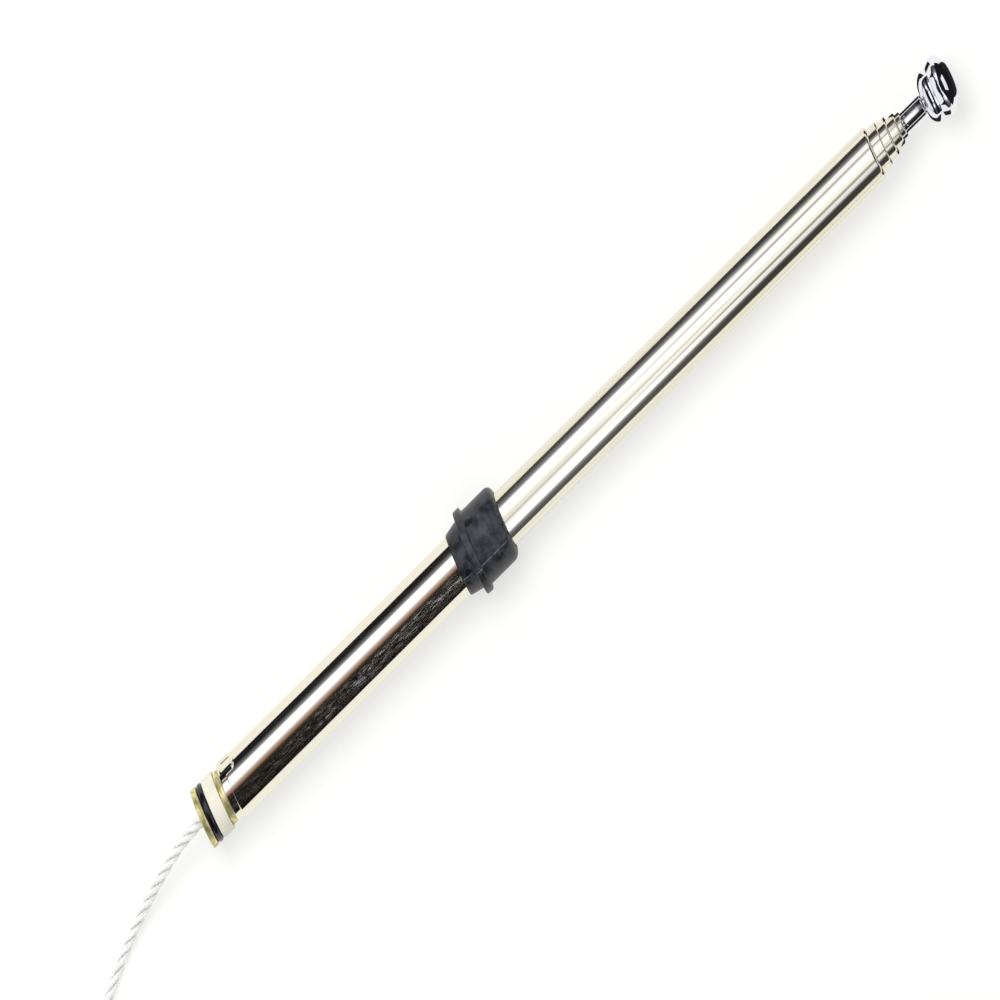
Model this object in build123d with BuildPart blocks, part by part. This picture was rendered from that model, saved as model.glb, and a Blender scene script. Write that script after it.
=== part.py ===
# Telescopic antenna mast with its nylon drive cord, lying on a table.
#
# Frame: millimetres, +X along the mast from the base to the tip, +Z up, the table at z = 0.
# The origin is on the table, under the middle of the mast's length.
# A "station" is a distance along the mast, counted from the outer face of the base.

import math
import os

from build123d import *

# ---------------------------------------------------------------- driving dimensions

MAST_LENGTH = 269.0          # base face to the top of the tip, fully retracted
FLANGE_RADIUS = 9.7          # the widest part, which the mast lies on
AXIS_Z = FLANGE_RADIUS       # height of the mast's axis above the table
BASE_X = -MAST_LENGTH / 2    # where station 0 is

# base stack, from the base face inwards
STACK_RADIUS = 6.75          # end ring, seal and collar all fit one socket
END_RING_END = 1.7
SEAL_SECTION_RADIUS = 0.98
COLLAR_START = 3.7
COLLAR_END = 7.3
CONTACT_RING_RADIUS = 6.05
CONTACT_RING_END = 9.0
CORE_RADIUS = 4.7            # the plug's core, which carries the rings
NECK_RADIUS = 6.3
PLUG_BORE_RADIUS = 2.4
PLUG_START = 0.3
PLUG_END = 14.0
BUSH_BORE_RADIUS = 1.5

# fixed outer tube
BASE_TUBE_RADIUS = 6.8
BASE_TUBE_WALL = 0.45
BASE_TUBE_START = 11.0
BASE_TUBE_END = 101.0
BASE_TUBE_CORNER = 0.8

# locating key on the outer tube, near the base
KEY_START = 9.5
KEY_END = 14.6
KEY_WIDTH = 4.3
KEY_HEIGHT = 0.65
KEY_AZIMUTH = 50.0           # from straight up, towards +Y

# rubber grommet, round the mouth of the outer tube
GROMMET_START = 91.1
FLANGE_START = 95.3
FLANGE_END = 97.4
GROMMET_END = 107.7
GROMMET_NOSE_RADIUS = 7.1
GROMMET_CONE_RADIUS = 7.95
GROMMET_BODY_RADIUS = 8.6
GROMMET_CORNER = 3.2
GROMMET_MOUTH_RADIUS = 6.35

# moving tubes, from the outermost inwards: outer radius, wall, station of the mouth
STAGES = [
    (6.10, 0.40, 241.2),
    (5.15, 0.38, 244.3),
    (4.50, 0.36, 247.1),
    (3.60, 0.34, 249.8),
    (2.85, 0.32, 251.3),
]
STAGE_FOOT = 14.6            # all tubes stand on the base plug when retracted
LIP_LENGTH = 0.9             # rolled-in mouth, which keeps the next sleeve in
LIP_CLEARANCE = 0.08
LIP_ROUND = 0.5

# split brass sleeves that guide each foot in the tube outside it
SLEEVE_START = 15.5
SHORT_SLEEVE_LENGTH = 12.0   # on the first moving tube, in the short outer tube
SLEEVE_LENGTH = 40.0
SLEEVE_CLEARANCE = 0.06
SLEEVE_SLOT = 1.0

# thin top rod and its tip
ROD_RADIUS = 2.22
ROD_START = 22.0
ROD_END = 258.2
ROD_NECK_END = 259.0
ROD_STUD_RADIUS = 1.4
ROD_STUD_END = 262.0
TIP_BACK = 259.3
TIP_RADIUS = 6.9
TIP_LOBE_RADIUS = 5.8
TIP_LOBE = [(TIP_BACK, ROD_STUD_RADIUS), (258.2, 3.9), (260.3, TIP_LOBE_RADIUS), (262.7, 5.35)]
TIP_DOME = [TIP_LOBE[-1], (265.0, TIP_RADIUS), (267.4, 5.5), (MAST_LENGTH, 0)]

# drive cord
CORD_DIAMETER = 2.8
CORD_RADIUS = CORD_DIAMETER / 2
CORD_ANCHOR_START = 14.4
CORD_INNER_START = 2.3
CORD_INNER_END = 20.0

# the cord's spare length, wound into a coil beside the base
TIE_THICKNESS = 0.5
TIE_WIDTH = 4.0
COIL_COLUMNS = 3             # turns side by side
COIL_LAYERS = 5              # turns on top of each other
COIL_MEAN_RADIUS = 15.5
COIL_CENTRE_STATION = -83.0
COIL_CENTRE_Y = -14.3
COIL_BOTTOM = TIE_THICKNESS
TIE_ANGLE = 120.0            # where the tie sits round the coil, from +X

# the cord's route from inside the base to the coil: station, y, z
CORD_ROUTE = [
    (2.0, 0.0, AXIS_Z),
    (-6.0, 0.0, AXIS_Z),
    (-14.0, -1.9, 8.0),
    (-21.5, -4.1, 4.9),
    (-29.0, -6.9, 2.5),
    (-37.0, -10.4, 1.5),
    (-45.2, -15.3, 1.45),
    (-53.6, -20.2, 1.6),
    (-74.9, -30.7, 1.9),
]

# ---------------------------------------------------------------- shared planes and helpers

# a lengthways half-section: local x is the station, local y is the radius
section = Plane(origin=(BASE_X, 0, AXIS_Z), x_dir=(1, 0, 0), z_dir=(0, -1, 0))
mast_axis = Axis((BASE_X, 0, AXIS_Z), (1, 0, 0))

os.makedirs("parts", exist_ok=True)


def save(part, name):
    part.label = name
    export_step(part, f"parts/{name}.step")


def turned(points):
    """A body turned about the mast's axis from a closed outline of (station, radius)."""
    with BuildPart() as body:
        with BuildSketch(section):
            with BuildLine():
                Polyline(*points, close=True)
            make_face()
        revolve(axis=mast_axis)
    return body.part


def ring(start, end, inner, outer, edge=0.0):
    """A plain ring round the mast's axis, its outer corners chamfered by edge."""
    return turned([
        (start, inner),
        (end, inner),
        (end, outer - edge),
        (end - edge, outer),
        (start + edge, outer),
        (start, outer - edge),
    ] if edge else [(start, inner), (end, inner), (end, outer), (start, outer)])


# ---------------------------------------------------------------- base stack

save(ring(0.0, END_RING_END, CORE_RADIUS, STACK_RADIUS, 0.25), "end_ring")

with BuildPart() as base_seal:
    with BuildSketch(section):
        with Locations(((END_RING_END + COLLAR_START) / 2, STACK_RADIUS - SEAL_SECTION_RADIUS)):
            Circle(SEAL_SECTION_RADIUS)
    revolve(axis=mast_axis)
save(base_seal.part, "base_o_ring")

save(ring(COLLAR_START, COLLAR_END, CORE_RADIUS, STACK_RADIUS, 0.2), "insulating_collar")
save(ring(COLLAR_END, CONTACT_RING_END, CORE_RADIUS, CONTACT_RING_RADIUS, 0.2), "contact_ring")

# turned plug: core for the rings, neck, and a spigot pressed into the outer tube
spigot_radius = BASE_TUBE_RADIUS - BASE_TUBE_WALL
save(turned([
    (PLUG_START, PLUG_BORE_RADIUS),
    (PLUG_END, PLUG_BORE_RADIUS),
    (PLUG_END, spigot_radius),
    (BASE_TUBE_START, spigot_radius),
    (BASE_TUBE_START, NECK_RADIUS),
    (CONTACT_RING_END, NECK_RADIUS),
    (CONTACT_RING_END, CORE_RADIUS),
    (PLUG_START, CORE_RADIUS),
]), "base_plug")

# nylon bush that leads the cord through the plug, with a small flare at its mouth
save(turned([
    (0.0, BUSH_BORE_RADIUS + 0.3),
    (0.4, BUSH_BORE_RADIUS),
    (PLUG_END - 0.5, BUSH_BORE_RADIUS),
    (PLUG_END - 0.5, PLUG_BORE_RADIUS),
    (PLUG_START, PLUG_BORE_RADIUS),
    (0.0, PLUG_BORE_RADIUS),
]), "cord_guide_bush")

# ---------------------------------------------------------------- fixed outer tube

first_lip = STAGES[0][0] + LIP_CLEARANCE
with BuildPart() as base_tube:
    with BuildSketch(section) as base_tube_section:
        with BuildLine():
            Polyline(
                (BASE_TUBE_START, spigot_radius),
                (BASE_TUBE_END - LIP_LENGTH, spigot_radius),
                (BASE_TUBE_END - LIP_LENGTH, first_lip),
                (BASE_TUBE_END, first_lip),
                (BASE_TUBE_END, BASE_TUBE_RADIUS),
                (BASE_TUBE_START, BASE_TUBE_RADIUS),
                close=True,
            )
        make_face()
        lower_corner = base_tube_section.vertices().sort_by(Axis.X)[:2].sort_by(Axis.Y)[-1]
        fillet(lower_corner, BASE_TUBE_WALL * 0.9)
    revolve(axis=mast_axis)
save(base_tube.part, "base_tube")

# tongue-shaped key, rounded towards the tip, that follows the tube's curve
key_direction = math.radians(KEY_AZIMUTH)
key_plane = Plane(
    origin=(BASE_X, 0, AXIS_Z),
    x_dir=(1, 0, 0),
    z_dir=(0, math.sin(key_direction), math.cos(key_direction)),
)
key_round = KEY_WIDTH / 2
with BuildPart() as locating_key:
    with BuildSketch(Plane.YZ.offset(BASE_X + KEY_START)):
        with Locations((0, AXIS_Z)):
            Circle(BASE_TUBE_RADIUS + KEY_HEIGHT)
            Circle(BASE_TUBE_RADIUS, mode=Mode.SUBTRACT)
    extrude(amount=KEY_END - KEY_START)
    with BuildSketch(key_plane):
        with Locations(((KEY_START + KEY_END - key_round) / 2, 0)):
            Rectangle(KEY_END - key_round - KEY_START, KEY_WIDTH)
        with Locations((KEY_END - key_round, 0)):
            Circle(key_round)
    extrude(amount=2 * BASE_TUBE_RADIUS, mode=Mode.INTERSECT)
save(locating_key.part, "locating_key")

# ---------------------------------------------------------------- rubber grommet

with BuildPart() as panel_grommet:
    with BuildSketch(section) as grommet_section:
        with BuildLine():
            Polyline(
                (GROMMET_START, BASE_TUBE_RADIUS),
                (BASE_TUBE_END, BASE_TUBE_RADIUS),
                (BASE_TUBE_END, GROMMET_MOUTH_RADIUS),
                (GROMMET_END, GROMMET_MOUTH_RADIUS),
                (GROMMET_END, GROMMET_BODY_RADIUS),
                (FLANGE_END, GROMMET_BODY_RADIUS),
                (FLANGE_END, FLANGE_RADIUS),
                (FLANGE_START, FLANGE_RADIUS),
                (FLANGE_START, GROMMET_CONE_RADIUS),
                (GROMMET_START, GROMMET_NOSE_RADIUS),
                close=True,
            )
        make_face()
        outer_corner = grommet_section.vertices().sort_by(Axis.X)[-2:].sort_by(Axis.Y)[-1]
        fillet(outer_corner, GROMMET_CORNER * 0.65)
    revolve(axis=mast_axis)
save(panel_grommet.part, "panel_grommet")

# ---------------------------------------------------------------- moving tubes and sleeves


def moving_tube(outer, wall, mouth, lip):
    """A thin tube with an open foot and a rolled-in mouth of radius lip."""
    inner = outer - wall
    with BuildPart() as tube:
        with BuildSketch(section) as tube_section:
            with BuildLine():
                Polyline(
                    (STAGE_FOOT, inner),
                    (mouth - LIP_LENGTH, inner),
                    (mouth - LIP_LENGTH, lip),
                    (mouth, lip),
                    (mouth, outer),
                    (STAGE_FOOT, outer),
                    close=True,
                )
            make_face()
            mouth_corner = tube_section.vertices().sort_by(Axis.X)[-2:].sort_by(Axis.Y)[-1]
            fillet(mouth_corner, LIP_ROUND)
        revolve(axis=mast_axis)
    return tube.part


def split_sleeve(start, length, inner, outer):
    """A thin brass sleeve with one slot along its top."""
    with BuildPart() as sleeve:
        with BuildSketch(section):
            with Locations((start + length / 2, (inner + outer) / 2)):
                Rectangle(length, outer - inner)
        revolve(axis=mast_axis)
        with BuildSketch(Plane.XY.offset(AXIS_Z)):
            with Locations((BASE_X + start + length / 2, 0)):
                Rectangle(length, SLEEVE_SLOT)
        extrude(amount=2 * outer, mode=Mode.SUBTRACT)
    return sleeve.part


outer_bore = spigot_radius
for number, (radius, wall, mouth) in enumerate(STAGES, start=1):
    inside_radius = STAGES[number][0] if number < len(STAGES) else ROD_RADIUS
    save(moving_tube(radius, wall, mouth, inside_radius + LIP_CLEARANCE), f"stage_{number}_tube")
    sleeve_length = SHORT_SLEEVE_LENGTH if number == 1 else SLEEVE_LENGTH
    sleeve = split_sleeve(SLEEVE_START, sleeve_length, radius, outer_bore - SLEEVE_CLEARANCE)
    save(sleeve, f"contact_sleeve_{number}")
    outer_bore = radius - wall

# ---------------------------------------------------------------- rod, tip and cord anchor

rod_sleeve_start = ROD_START + 1.0
rod_sleeve_length = SLEEVE_START + SLEEVE_LENGTH - rod_sleeve_start
rod_sleeve = split_sleeve(
    rod_sleeve_start, rod_sleeve_length, ROD_RADIUS, outer_bore - SLEEVE_CLEARANCE
)
save(rod_sleeve, f"contact_sleeve_{len(STAGES) + 1}")

save(turned([
    (ROD_START, 0),
    (ROD_STUD_END, 0),
    (ROD_STUD_END, ROD_STUD_RADIUS),
    (ROD_NECK_END, ROD_STUD_RADIUS),
    (ROD_END, ROD_RADIUS),
    (ROD_START, ROD_RADIUS),
]), "top_rod")

# mushroom tip: a shallow lobe behind, a narrow waist, and a domed disc in front
with BuildPart() as tip_head:
    with BuildSketch(section):
        with BuildLine():
            Polyline(
                (MAST_LENGTH, 0),
                (ROD_STUD_END, 0),
                (ROD_STUD_END, ROD_STUD_RADIUS),
                TIP_LOBE[0],
            )
            Spline(*TIP_LOBE, tangents=[(-1, 1), (1, -0.2)])
            Spline(*TIP_DOME, tangents=[(0.3, 1), (0, -1)])
        make_face()
    revolve(axis=mast_axis)
save(tip_head.part, "tip_head")

# crimped ferrule that joins the cord to the foot of the rod
with BuildPart() as cord_anchor:
    with BuildSketch(section):
        with Locations(((CORD_ANCHOR_START + ROD_START) / 2, ROD_RADIUS / 2)):
            Rectangle(ROD_START - CORD_ANCHOR_START, ROD_RADIUS)
        with Locations(((CORD_ANCHOR_START + CORD_INNER_END) / 2, CORD_RADIUS / 2)):
            Rectangle(CORD_INNER_END - CORD_ANCHOR_START, CORD_RADIUS, mode=Mode.SUBTRACT)
    revolve(axis=mast_axis)
save(cord_anchor.part, "cord_anchor")

with BuildPart() as inner_drive_cord:
    with BuildSketch(section):
        with Locations(((CORD_INNER_START + CORD_INNER_END) / 2, CORD_RADIUS / 2)):
            Rectangle(CORD_INNER_END - CORD_INNER_START, CORD_RADIUS)
    revolve(axis=mast_axis)
save(inner_drive_cord.part, "inner_drive_cord")

# ---------------------------------------------------------------- free cord

route = [Vector(BASE_X + station, y, z) for station, y, z in CORD_ROUTE]
radii = []
for before, corner, after in zip(route, route[1:], route[2:]):
    half_turn = math.radians((corner - before).get_angle(after - corner)) / 2
    shorter_run = min((corner - before).length, (after - corner).length)
    radii.append(0.45 * shorter_run / math.tan(half_turn))
print("cord bend radii:", [round(r, 1) for r in radii], "least allowed", 5 * CORD_DIAMETER)

with BuildPart() as drive_cord:
    with BuildLine() as cord_path:
        FilletPolyline(*route, radius=radii)
    with BuildSketch(Plane(origin=route[0], z_dir=route[1] - route[0])):
        Circle(CORD_RADIUS)
    sweep()
path_length = sum(edge.length for edge in cord_path.edges())
expected_volume = math.pi * CORD_RADIUS ** 2 * path_length
print("cord tube length", round(path_length, 1))
print("cord tube volume", round(drive_cord.part.volume, 1), "expected", round(expected_volume, 1))
save(drive_cord.part, "drive_cord")

# the coil's outer shape: a ring as wide and as high as its turns
coil_width = COIL_COLUMNS * CORD_DIAMETER
coil_height = COIL_LAYERS * CORD_DIAMETER
coil_x = BASE_X + COIL_CENTRE_STATION
coil_axis = Axis((coil_x, COIL_CENTRE_Y, 0), (0, 0, 1))
with BuildPart() as drive_cord_coil:
    with BuildSketch(Plane(origin=(coil_x, COIL_CENTRE_Y, 0), x_dir=(1, 0, 0), z_dir=(0, -1, 0))):
        with Locations((COIL_MEAN_RADIUS, COIL_BOTTOM + coil_height / 2)):
            RectangleRounded(coil_width, coil_height, CORD_RADIUS * 0.9)
    revolve(axis=coil_axis)
save(drive_cord_coil.part, "drive_cord_coil")

# a flat tie, closed round the coil's turns
tie_direction = math.radians(TIE_ANGLE)
tie_plane = Plane(
    origin=(coil_x, COIL_CENTRE_Y, 0),
    x_dir=(math.cos(tie_direction), math.sin(tie_direction), 0),
    z_dir=(math.sin(tie_direction), -math.cos(tie_direction), 0),
)
with BuildPart() as coil_tie:
    with BuildSketch(tie_plane.offset(-TIE_WIDTH / 2)):
        with Locations((COIL_MEAN_RADIUS, COIL_BOTTOM + coil_height / 2)):
            Rectangle(coil_width + 4 * TIE_THICKNESS, coil_height + 2 * TIE_THICKNESS)
            Rectangle(coil_width + 2 * TIE_THICKNESS, coil_height, mode=Mode.SUBTRACT)
    extrude(amount=TIE_WIDTH)
save(coil_tie.part, "coil_tie")
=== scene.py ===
"""Telescopic antenna mast with its drive cord: the looks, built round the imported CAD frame.

Everything is in metres in the CAD frame: +X along the mast from base to tip, the table at z = 0.
A "station" is a distance along the mast, counted from the outer face of the base.
"""

import math

import bmesh
import bpy
import numpy as np
from mathutils import Matrix, Vector


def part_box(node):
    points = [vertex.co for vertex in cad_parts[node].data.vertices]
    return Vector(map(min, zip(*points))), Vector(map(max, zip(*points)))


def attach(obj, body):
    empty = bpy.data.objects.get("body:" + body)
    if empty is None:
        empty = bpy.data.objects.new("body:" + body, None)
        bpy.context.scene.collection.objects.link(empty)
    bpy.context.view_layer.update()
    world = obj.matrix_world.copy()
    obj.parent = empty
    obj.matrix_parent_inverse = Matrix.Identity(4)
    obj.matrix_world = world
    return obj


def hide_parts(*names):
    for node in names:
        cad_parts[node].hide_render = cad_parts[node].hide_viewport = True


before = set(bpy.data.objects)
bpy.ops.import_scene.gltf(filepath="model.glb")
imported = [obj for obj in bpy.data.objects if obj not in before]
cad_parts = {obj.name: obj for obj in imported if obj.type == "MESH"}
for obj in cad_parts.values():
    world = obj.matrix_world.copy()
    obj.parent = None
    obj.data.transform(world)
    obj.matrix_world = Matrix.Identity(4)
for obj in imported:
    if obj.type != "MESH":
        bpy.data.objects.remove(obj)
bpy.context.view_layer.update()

# ---------------------------------------------------------------- sizes read from the frame


def span(node):
    """Where a node starts and ends along the mast."""
    low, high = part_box(node)
    return low.x, high.x


def radius(node):
    """The outer radius of a node that is round about the mast's axis."""
    low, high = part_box(node)
    return (high.z - low.z) / 2


BASE_X = span("end_ring")[0]
TIP_X = span("tip_head")[1]
AXIS_Z = sum(corner.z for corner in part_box("base_tube")) / 2
MM = 0.001
STAGE_COUNT = 5

# ---------------------------------------------------------------- camera

PICTURE_WIDTH = 0.2985       # of the table, across the whole picture
MAST_TURN = math.radians(33.5)
SQUEEZE = 1.5                # the picture is this much narrower than it should be
CAMERA_DISTANCE = 12.0       # far off, yet near enough for the other views to keep the object in range
CAMERA_TILT = math.radians(4.5)
CAMERA_REACH = (1, 200)      # nearest and farthest thing that it sees
LOOK_AT_STATION = 0.1086
LOOK_AT_Y = 0.0040
SENSOR = 36.0


def make_camera():
    """Looks down on the mast from far off, a little from beyond its tip.

    The photograph was squeezed from side to side, to two thirds of its width. A camera can't squeeze
    a picture evenly, but one whose up axis leans back makes things taller by the same factor.
    """
    right = Vector((math.cos(MAST_TURN), -math.sin(MAST_TURN), 0))
    up = Vector((math.sin(MAST_TURN), math.cos(MAST_TURN), 0))
    back = Vector((math.sin(CAMERA_TILT), 0, math.cos(CAMERA_TILT)))
    lean = up.dot(back) / SQUEEZE
    leaning_up = up / SQUEEZE + back * (math.sqrt(lean ** 2 + 1 - 1 / SQUEEZE ** 2) - lean)
    place = Vector((BASE_X + LOOK_AT_STATION, LOOK_AT_Y, AXIS_Z)) + back * CAMERA_DISTANCE

    data = bpy.data.cameras.new("camera")
    data.sensor_width = SENSOR
    data.lens = SENSOR * CAMERA_DISTANCE / PICTURE_WIDTH
    data.clip_start, data.clip_end = CAMERA_REACH
    camera = bpy.data.objects.new("camera", data)
    holder = bpy.data.objects.new("camera_holder", None)
    for thing in (camera, holder):
        bpy.context.scene.collection.objects.link(thing)
    camera.parent = holder
    axes = Matrix((right, leaning_up, back)).transposed().to_4x4()
    camera.matrix_parent_inverse = Matrix.Translation(place) @ axes
    bpy.context.scene.camera = camera
    bpy.context.view_layer.update()


make_camera()

# ---------------------------------------------------------------- node helpers


class Paint:
    """A new material and short ways to add nodes to it."""

    def __init__(self, name, colour, metallic=0.0, roughness=0.5, **sockets):
        self.material = bpy.data.materials.new(name)
        self.material.use_nodes = True
        self.tree = self.material.node_tree
        self.shader = self.tree.nodes["Principled BSDF"]
        self.set("Base Color", (*colour, 1))
        self.set("Metallic", metallic)
        self.set("Roughness", roughness)
        for socket, value in sockets.items():
            self.set(socket.replace("_", " "), value)
        self.place = self.tree.nodes.new("ShaderNodeTexCoord").outputs["Object"]

    def set(self, socket, value):
        self.shader.inputs[socket].default_value = value

    def link(self, source, target):
        self.tree.links.new(source, target)

    def stretched(self, scale):
        node = self.tree.nodes.new("ShaderNodeMapping")
        node.inputs["Scale"].default_value = scale
        self.link(self.place, node.inputs["Vector"])
        return node.outputs["Vector"]

    def axes(self):
        """The place on the object, as X, Y and Z."""
        node = self.tree.nodes.new("ShaderNodeSeparateXYZ")
        self.link(self.place, node.inputs["Vector"])
        return node.outputs

    def noise(self, scale, detail=3.0, rough=0.5, distortion=0.0):
        """Noise with scale lumps a metre along X, Y and Z."""
        node = self.tree.nodes.new("ShaderNodeTexNoise")
        self.link(self.stretched(scale), node.inputs["Vector"])
        node.inputs["Scale"].default_value = 1.0
        node.inputs["Detail"].default_value = detail
        node.inputs["Roughness"].default_value = rough
        node.inputs["Distortion"].default_value = distortion
        return node.outputs["Fac"]

    def range(self, source, low, high, to_low, to_high):
        node = self.tree.nodes.new("ShaderNodeMapRange")
        self.link(source, node.inputs["Value"])
        for socket, value in zip(("From Min", "From Max", "To Min", "To Max"), (low, high, to_low, to_high)):
            node.inputs[socket].default_value = value
        return node.outputs["Result"]

    def math(self, operation, first, second):
        node = self.tree.nodes.new("ShaderNodeMath")
        node.operation = operation
        for socket, value in zip(node.inputs, (first, second)):
            if isinstance(value, (int, float)):
                socket.default_value = value
            else:
                self.link(value, socket)
        return node.outputs["Value"]

    def mix(self, factor, first, second):
        """Between two colours, or a colour socket and a colour."""
        node = self.tree.nodes.new("ShaderNodeMix")
        node.data_type = "RGBA"
        self.link(factor, node.inputs["Factor"])
        for socket, value in (("A", first), ("B", second)):
            target = [s for s in node.inputs if s.name == socket and s.type == "RGBA"][0]
            if isinstance(value, tuple):
                target.default_value = (*value, 1)
            else:
                self.link(value, target)
        return [s for s in node.outputs if s.type == "RGBA"][0]

    def colour(self, source):
        self.link(source, self.shader.inputs["Base Color"])

    def rough(self, source):
        self.link(source, self.shader.inputs["Roughness"])

    def bump(self, height, distance, strength=1.0):
        node = self.tree.nodes.new("ShaderNodeBump")
        node.inputs["Strength"].default_value = strength
        node.inputs["Distance"].default_value = distance
        self.link(height, node.inputs["Height"])
        if self.shader.inputs["Normal"].is_linked:
            self.link(self.shader.inputs["Normal"].links[0].from_socket, node.inputs["Normal"])
        self.link(node.outputs["Normal"], self.shader.inputs["Normal"])


# scales for noise, in lumps a metre: fine rings round the mast, and fine lines along it
RINGS = (5200, 40, 40)
LINES = (14, 1500, 1500)

# ---------------------------------------------------------------- materials

PLATE = (0.85, 0.81, 0.68)   # the colour of the warm plate on every tube


def mirror_nickel():
    """Bright plate on the outer tube, with fine scratches where it has been rubbed on top."""
    paint = Paint("mirror_nickel", PLATE, 1.0, 0.05)
    axes = paint.axes()
    worn_along = paint.range(axes["X"], BASE_X + 0.025, BASE_X + 0.055, 0.4, 1)
    worn_across = paint.math(
        "MULTIPLY",
        paint.range(axes["Y"], -0.0006, -0.0016, 0, 1),
        paint.range(axes["Y"], -0.0048, -0.0036, 0, 1),
    )
    worn = paint.math("MULTIPLY", worn_along, worn_across)
    marks = paint.range(paint.noise((330, 4200, 4200), 6, 0.85), 0.50, 0.62, 0, 1)
    patches = paint.range(paint.noise((130, 700, 700), 2), 0.42, 0.58, 0.4, 1)
    marks = paint.math("MULTIPLY", marks, patches)
    ticks = paint.range(paint.noise((900, 3600, 3600), 4, 0.7, 2.0), 0.70, 0.75, 0, 0.8)
    streaks = paint.range(paint.noise((60, 7000, 7000), 4, 0.75), 0.54, 0.74, 0, 0.22)
    rub = paint.math("MAXIMUM", paint.math("MULTIPLY", marks, worn), paint.math("MAXIMUM", ticks, streaks))
    paint.rough(paint.range(rub, 0, 1, 0.045, 0.40))
    paint.link(paint.range(rub, 0, 1, 1, 0.62), paint.shader.inputs["Metallic"])
    paint.colour(paint.mix(rub, PLATE, (0.70, 0.70, 0.74)))
    paint.bump(paint.noise(LINES, 2), 0.0015 * MM)
    return paint.material


def satin_nickel():
    """Drawn plate on the moving tubes: lines along it, and soft rings round it."""
    paint = Paint("satin_nickel", PLATE, 1.0, 0.1)
    lines = paint.noise(LINES, 4, 0.6)
    paint.rough(paint.range(lines, 0.3, 0.7, 0.06, 0.15))
    tone = paint.range(paint.noise((7, 2600, 2600), 4, 0.7), 0.42, 0.66, 0, 1)
    paint.colour(paint.mix(tone, PLATE, (0.66, 0.61, 0.49)))
    paint.bump(lines, 0.004 * MM)
    paint.bump(paint.noise(RINGS, 2), 0.002 * MM)
    return paint.material


def mirror_chrome():
    """Bright chrome of the rod and the tip."""
    paint = Paint("mirror_chrome", (0.84, 0.84, 0.87), 1.0, 0.03)
    haze = paint.noise((900, 900, 900), 4, 0.6)
    paint.rough(paint.range(haze, 0.4, 0.75, 0.02, 0.08))
    tone = paint.range(paint.noise((260, 260, 260), 2), 0.4, 0.6, 0, 1)
    paint.colour(paint.mix(tone, (0.85, 0.85, 0.88), (0.81, 0.81, 0.85)))
    return paint.material


def turned_brass():
    """Yellow brass with turning marks and darker stains."""
    paint = Paint("turned_brass", (0.78, 0.70, 0.34), 0.75, 0.25)
    rings = paint.noise(RINGS, 2)
    stain = paint.range(paint.noise((700, 420, 420), 5, 0.65), 0.42, 0.62, 0, 1)
    paint.colour(paint.mix(stain, (0.90, 0.83, 0.47), (0.50, 0.42, 0.14)))
    paint.rough(paint.range(rings, 0.3, 0.7, 0.34, 0.5))
    paint.bump(rings, 0.008 * MM)
    return paint.material


PARTING_SLOPE = 0.52         # how far the moulding line leans towards -Y for each unit up


def moulded_rubber():
    """Satin black rubber, greyed where it has been handled, with the mould's parting line."""
    paint = Paint("moulded_rubber", (0.02, 0.021, 0.024), 0.0, 0.5)
    bloom = paint.range(paint.noise((420, 420, 420), 6, 0.65), 0.42, 0.70, 0, 1)
    axes = paint.axes()
    rise = paint.math("SUBTRACT", axes["Z"], AXIS_Z)
    lean = paint.math("MULTIPLY", rise, PARTING_SLOPE)
    off_line = paint.math("ABSOLUTE", paint.math("ADD", axes["Y"], lean), 0)
    line = paint.range(off_line, 0.00004, 0.00014, 1, 0)
    line = paint.math("MULTIPLY", line, paint.range(paint.noise((500, 500, 500), 3), 0.40, 0.56, 0.1, 1))
    grey = paint.mix(bloom, (0.004, 0.0045, 0.0065), (0.046, 0.049, 0.060))
    paint.colour(paint.mix(line, grey, (0.20, 0.21, 0.24)))
    paint.rough(paint.range(bloom, 0, 1, 0.34, 0.55))
    paint.bump(paint.noise((2600, 2600, 2600), 3), 0.02 * MM, 0.6)
    paint.bump(line, 0.06 * MM)
    return paint.material


def seal_rubber():
    paint = Paint("seal_rubber", (0.005, 0.005, 0.007), 0.0, 0.15)
    film = paint.range(paint.noise((900, 900, 900), 4), 0.4, 0.7, 0, 1)
    paint.colour(paint.mix(film, (0.003, 0.003, 0.005), (0.009, 0.009, 0.013)))
    paint.rough(paint.range(film, 0, 1, 0.10, 0.24))
    return paint.material


def turned_nylon():
    paint = Paint("turned_nylon", (0.80, 0.77, 0.67), 0.0, 0.42, Subsurface_Weight=0.15)
    paint.set("Subsurface Radius", (0.8 * MM, 0.6 * MM, 0.4 * MM))
    paint.set("Subsurface Scale", 1.0)
    cloud = paint.range(paint.noise((350, 350, 350), 4), 0.4, 0.65, 0, 1)
    paint.colour(paint.mix(cloud, (0.76, 0.74, 0.63), (0.71, 0.68, 0.57)))
    paint.bump(paint.noise(RINGS, 2), 0.008 * MM)
    return paint.material


def cord_nylon():
    """Translucent white nylon strands."""
    paint = Paint("cord_nylon", (0.94, 0.93, 0.87), 0.0, 0.35, Subsurface_Weight=0.7)
    paint.set("Subsurface Radius", (2.5 * MM, 2.5 * MM, 2.3 * MM))
    paint.set("Subsurface Scale", 1.0)
    cloud = paint.range(paint.noise((500, 500, 500), 4), 0.38, 0.66, 0, 1)
    paint.colour(paint.mix(cloud, (0.97, 0.96, 0.90), (0.93, 0.92, 0.85)))
    paint.rough(paint.range(cloud, 0, 1, 0.28, 0.45))
    paint.bump(paint.noise((3000, 3000, 3000), 3), 0.015 * MM)
    return paint.material


def tie_plastic():
    paint = Paint("tie_plastic", (0.80, 0.80, 0.79), 0.0, 0.4)
    cloud = paint.range(paint.noise((700, 700, 700), 3), 0.4, 0.65, 0, 1)
    paint.colour(paint.mix(cloud, (0.84, 0.84, 0.83), (0.74, 0.74, 0.73)))
    paint.bump(paint.noise((4000, 4000, 4000), 2), 0.01 * MM)
    return paint.material


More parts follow.
